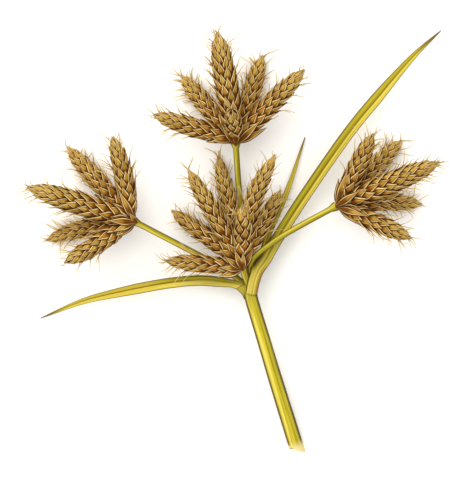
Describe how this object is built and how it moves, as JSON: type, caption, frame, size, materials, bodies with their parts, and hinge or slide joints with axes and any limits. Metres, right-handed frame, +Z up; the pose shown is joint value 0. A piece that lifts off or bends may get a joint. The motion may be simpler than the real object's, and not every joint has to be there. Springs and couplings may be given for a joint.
{
  "type": "cut sea clubrush flowering stem",
  "caption": "Cut flowering stem of a sedge lying flat: ridged green stem, thin rays, folded leafy bracts and heads of scaly brown spikelets.",
  "frame": {"origin": "on the surface that the cut stem lies on, below the middle of its bounding box", "axes": "+Z is up from the surface, -Y is towards the cut end of the stem, +Y is towards the top head, +X is the side of the long bract"},
  "size_m": [0.1037, 0.1059, 0.0235],
  "materials": {
    "stem_green": "fresh yellow-green plant stem, satin",
    "leaf_green": "fresh olive-green leaf blade, satin",
    "husk_brown": "dry golden-brown papery scales, matt"
  },
  "bodies": {
    "root": {"stem": "stem_green", "ray_left": "stem_green", "ray_top": "stem_green", "ray_right": "stem_green", "bract_long": "leaf_green", "bract_left": "leaf_green", "bract_short": "leaf_green", "spikelet_left_1": "husk_brown", "spikelet_left_2": "husk_brown", "spikelet_left_3": "husk_brown", "spikelet_left_4": "husk_brown", "spikelet_left_5": "husk_brown", "spikelet_top_1": "husk_brown", "spikelet_top_2": "husk_brown", "spikelet_top_3": "husk_brown", "spikelet_top_4": "husk_brown", "spikelet_top_5": "husk_brown", "spikelet_top_6": "husk_brown", "spikelet_centre_1": "husk_brown", "spikelet_centre_2": "husk_brown", "spikelet_centre_3": "husk_brown", "spikelet_centre_4": "husk_brown", "spikelet_centre_5": "husk_brown", "spikelet_centre_6": "husk_brown", "spikelet_centre_7": "husk_brown", "spikelet_right_1": "husk_brown", "spikelet_right_2": "husk_brown", "spikelet_right_3": "husk_brown", "spikelet_right_4": "husk_brown", "spikelet_right_5": "husk_brown"}
  },
  "joints": []
}
